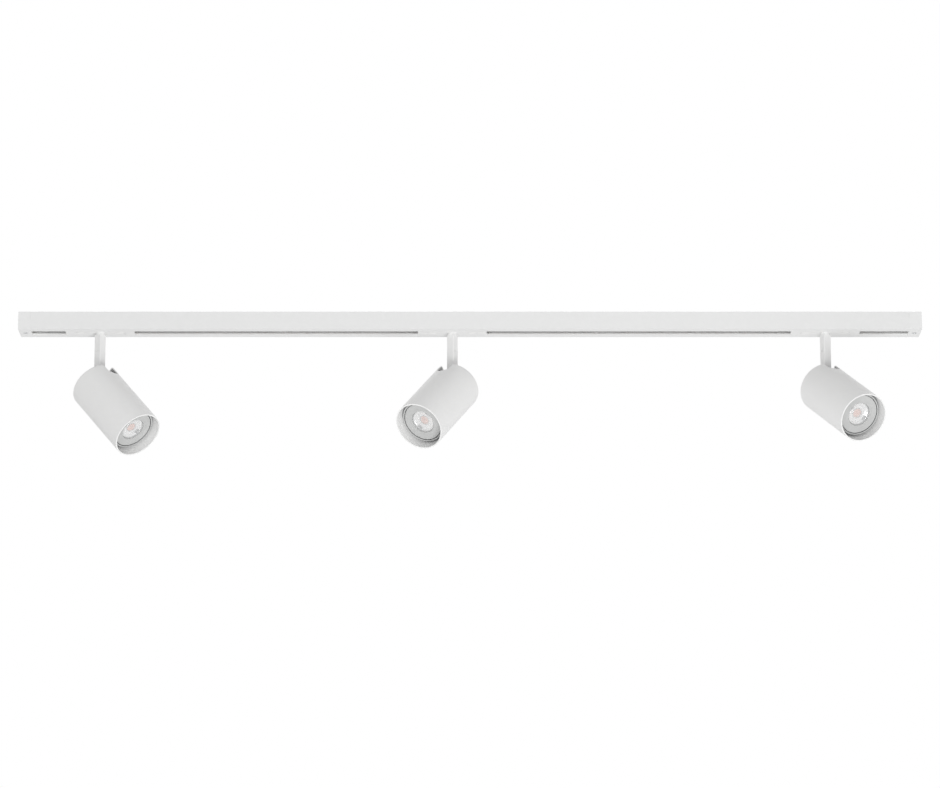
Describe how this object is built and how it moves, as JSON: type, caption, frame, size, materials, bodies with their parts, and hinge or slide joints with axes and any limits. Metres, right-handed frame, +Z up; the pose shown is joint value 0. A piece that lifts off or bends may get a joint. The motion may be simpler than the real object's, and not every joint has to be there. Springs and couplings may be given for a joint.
{
  "type": "track lighting fixture",
  "caption": "Surface ceiling track with a slotted bottom and cylindrical spotlights that slide, lock, pan and tilt on square stems.",
  "frame": {"origin": "middle of the track's ceiling face", "axes": "+X along the track away from the feed end, -Y towards the room side, +Z up to the ceiling"},
  "size_m": [1.028, 0.1117, 0.1688],
  "materials": {
    "track_paint": "satin white powder coat on extruded aluminium",
    "insulator_plastic": "matt extruded insulation",
    "copper_strip": "bare rolled copper",
    "block_plastic": "matt moulded insulation",
    "terminal_brass": "machined brass",
    "cap_plastic": "satin white moulding",
    "screw_steel": "zinc-plated steel",
    "adapter_plastic": "satin white moulding",
    "copper_spring": "rolled spring copper",
    "earth_brass": "rolled spring brass",
    "cam_plastic": "satin white moulding",
    "stem_paint": "satin white powder coat",
    "lead_silicone": "silicone-sleeved leads",
    "bracket_steel": "zinc-plated sheet",
    "tube_paint": "satin white powder coat",
    "holder_ceramic": "unglazed steatite",
    "collar_plastic": "grey moulding",
    "lamp_plastic": "matt lamp moulding",
    "lens_plastic": "clear moulded lens"
  },
  "bodies": {
    "track": {"track_profile": "track_paint", "insulator_strips": "insulator_plastic", "conductor_strips": "copper_strip", "feed_end_block": "block_plastic", "dead_end_block": "block_plastic", "feed_terminals": "terminal_brass", "feed_end_cap": "cap_plastic", "dead_end_cap": "cap_plastic", "end_cap_screws": "screw_steel"},
    "spot_1_adapter": {"spot_1_adapter_housing": "adapter_plastic", "spot_1_adapter_cover": "adapter_plastic", "spot_1_contact_blades": "copper_spring", "spot_1_earth_contact": "earth_brass"},
    "spot_1_lock_left": {"spot_1_lock_cam_left": "cam_plastic"},
    "spot_1_lock_right": {"spot_1_lock_cam_right": "cam_plastic"},
    "spot_1_stem": {"spot_1_stem": "stem_paint", "spot_1_stem_nut": "screw_steel", "spot_1_pivot_screws": "screw_steel", "spot_1_leads": "lead_silicone"},
    "spot_1_head": {"spot_1_head_bracket": "bracket_steel", "spot_1_bracket_screws": "screw_steel", "spot_1_lamp_tube": "tube_paint", "spot_1_lampholder": "holder_ceramic", "spot_1_centring_collar": "collar_plastic"},
    "spot_1_lamp": {"spot_1_lamp_body": "lamp_plastic", "spot_1_lamp_lens": "lens_plastic"},
    "spot_2_adapter": {"spot_2_adapter_housing": "adapter_plastic", "spot_2_adapter_cover": "adapter_plastic", "spot_2_contact_blades": "copper_spring", "spot_2_earth_contact": "earth_brass"},
    "spot_2_lock_left": {"spot_2_lock_cam_left": "cam_plastic"},
    "spot_2_lock_right": {"spot_2_lock_cam_right": "cam_plastic"},
    "spot_2_stem": {"spot_2_stem": "stem_paint", "spot_2_stem_nut": "screw_steel", "spot_2_pivot_screws": "screw_steel", "spot_2_leads": "lead_silicone"},
    "spot_2_head": {"spot_2_head_bracket": "bracket_steel", "spot_2_bracket_screws": "screw_steel", "spot_2_lamp_tube": "tube_paint", "spot_2_lampholder": "holder_ceramic", "spot_2_centring_collar": "collar_plastic"},
    "spot_2_lamp": {"spot_2_lamp_body": "lamp_plastic", "spot_2_lamp_lens": "lens_plastic"},
    "spot_3_adapter": {"spot_3_adapter_housing": "adapter_plastic", "spot_3_adapter_cover": "adapter_plastic", "spot_3_contact_blades": "copper_spring", "spot_3_earth_contact": "earth_brass"},
    "spot_3_lock_left": {"spot_3_lock_cam_left": "cam_plastic"},
    "spot_3_lock_right": {"spot_3_lock_cam_right": "cam_plastic"},
    "spot_3_stem": {"spot_3_stem": "stem_paint", "spot_3_stem_nut": "screw_steel", "spot_3_pivot_screws": "screw_steel", "spot_3_leads": "lead_silicone"},
    "spot_3_head": {"spot_3_head_bracket": "bracket_steel", "spot_3_bracket_screws": "screw_steel", "spot_3_lamp_tube": "tube_paint", "spot_3_lampholder": "holder_ceramic", "spot_3_centring_collar": "collar_plastic"},
    "spot_3_lamp": {"spot_3_lamp_body": "lamp_plastic", "spot_3_lamp_lens": "lens_plastic"}
  },
  "joints": [
    {"name": "spot_1_slide", "type": "slide", "parent": "track", "child": "spot_1_adapter", "axis": [1, 0, 0], "range_m": [-0.0183, 0.1227]},
    {"name": "spot_1_lock_left_turn", "type": "hinge", "parent": "spot_1_adapter", "child": "spot_1_lock_left", "pos_m": [-0.4442, 0, -0.0205], "axis": [0, 0, -1], "range_deg": [0, 90]},
    {"name": "spot_1_lock_right_turn", "type": "hinge", "parent": "spot_1_adapter", "child": "spot_1_lock_right", "pos_m": [-0.3992, 0, -0.0205], "axis": [0, 0, -1], "range_deg": [0, 90]},
    {"name": "spot_1_pan", "type": "hinge", "parent": "spot_1_adapter", "child": "spot_1_stem", "pos_m": [-0.4217, 0, -0.0205], "axis": [0, 0, 1], "range_deg": [-221.5, 114.5]},
    {"name": "spot_1_tilt", "type": "hinge", "parent": "spot_1_stem", "child": "spot_1_head", "pos_m": [-0.4217, 0, -0.0873], "axis": [0.5948, 0.8039, 0], "range_deg": [-45.6, 44.4]},
    {"name": "spot_1_lamp_twist", "type": "hinge", "parent": "spot_1_head", "child": "spot_1_lamp", "pos_m": [-0.4217, 0, -0.0873], "axis": [0.5624, -0.4162, -0.7145], "range_deg": [0, 25]},
    {"name": "spot_2_slide", "type": "slide", "parent": "track", "child": "spot_2_adapter", "axis": [1, 0, 0], "range_m": [-0.0949, 0.1351]},
    {"name": "spot_2_lock_left_turn", "type": "hinge", "parent": "spot_2_adapter", "child": "spot_2_lock_left", "pos_m": [-0.0426, 0, -0.0205], "axis": [0, 0, -1], "range_deg": [0, 90]},
    {"name": "spot_2_lock_right_turn", "type": "hinge", "parent": "spot_2_adapter", "child": "spot_2_lock_right", "pos_m": [0.0024, 0, -0.0205], "axis": [0, 0, -1], "range_deg": [0, 90]},
    {"name": "spot_2_pan", "type": "hinge", "parent": "spot_2_adapter", "child": "spot_2_stem", "pos_m": [-0.0201, 0, -0.0205], "axis": [0, 0, 1], "range_deg": [-133.3, 202.7]},
    {"name": "spot_2_tilt", "type": "hinge", "parent": "spot_2_stem", "child": "spot_2_head", "pos_m": [-0.0201, 0, -0.0873], "axis": [0.8221, -0.5693, 0], "range_deg": [-40.6, 49.4]},
    {"name": "spot_2_lamp_twist", "type": "hinge", "parent": "spot_2_head", "child": "spot_2_lamp", "pos_m": [-0.0201, 0, -0.0873], "axis": [-0.4322, -0.6242, -0.6508], "range_deg": [0, 25]},
    {"name": "spot_3_slide", "type": "slide", "parent": "track", "child": "spot_3_adapter", "axis": [1, 0, 0], "range_m": [-0.1062, 0.0348]},
    {"name": "spot_3_lock_left_turn", "type": "hinge", "parent": "spot_3_adapter", "child": "spot_3_lock_left", "pos_m": [0.3827, 0, -0.0205], "axis": [0, 0, -1], "range_deg": [0, 90]},
    {"name": "spot_3_lock_right_turn", "type": "hinge", "parent": "spot_3_adapter", "child": "spot_3_lock_right", "pos_m": [0.4277, 0, -0.0205], "axis": [0, 0, -1], "range_deg": [0, 90]},
    {"name": "spot_3_pan", "type": "hinge", "parent": "spot_3_adapter", "child": "spot_3_stem", "pos_m": [0.4052, 0, -0.0205], "axis": [0, 0, 1], "range_deg": [-197, 139]},
    {"name": "spot_3_tilt", "type": "hinge", "parent": "spot_3_stem", "child": "spot_3_head", "pos_m": [0.4052, 0, -0.0873], "axis": [0.8746, 0.4848, 0], "range_deg": [-34, 56]},
    {"name": "spot_3_lamp_twist", "type": "hinge", "parent": "spot_3_head", "child": "spot_3_lamp", "pos_m": [0.4052, 0, -0.0873], "axis": [0.4019, -0.7251, -0.5592], "range_deg": [0, 25]}
  ]
}
